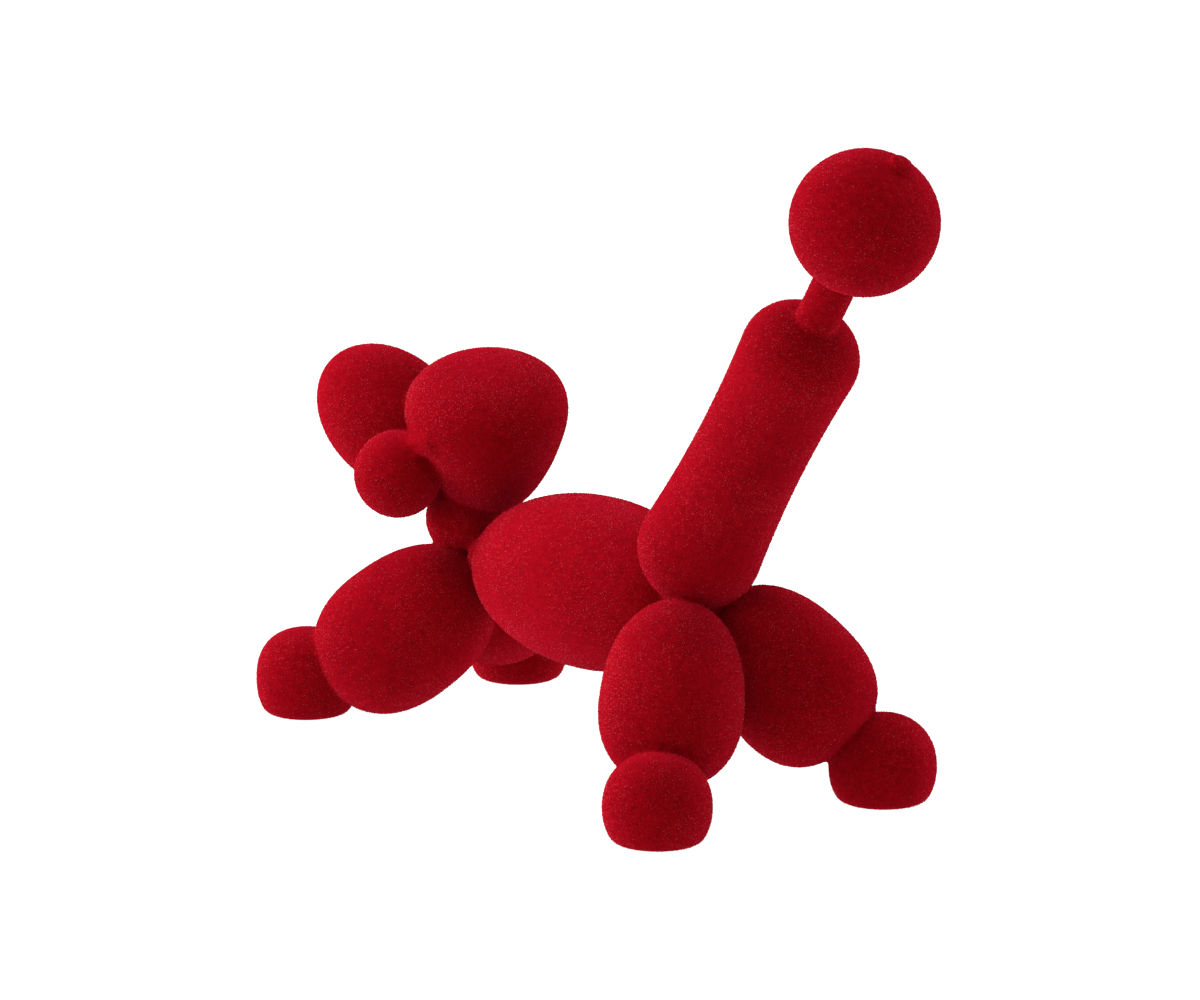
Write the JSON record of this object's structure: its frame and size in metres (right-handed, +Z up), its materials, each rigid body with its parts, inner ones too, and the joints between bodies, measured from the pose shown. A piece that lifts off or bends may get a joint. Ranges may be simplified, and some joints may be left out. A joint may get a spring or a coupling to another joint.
{
  "type": "balloon poodle",
  "caption": "Small cast ornament of a balloon poodle with its head turned and its tail raised, covered all over in deep red flock.",
  "frame": {"origin": "on the ground, under the middle of the poodle's box", "axes": "+Z up, -X towards the dog's chest, -Y towards its left, where its muzzle points"},
  "size_m": [0.2958, 0.1248, 0.2255],
  "materials": {
    "flock": "matt deep red flock with a soft pale sheen"
  },
  "bodies": {
    "root": {"balloon_poodle": "flock"}
  },
  "joints": []
}
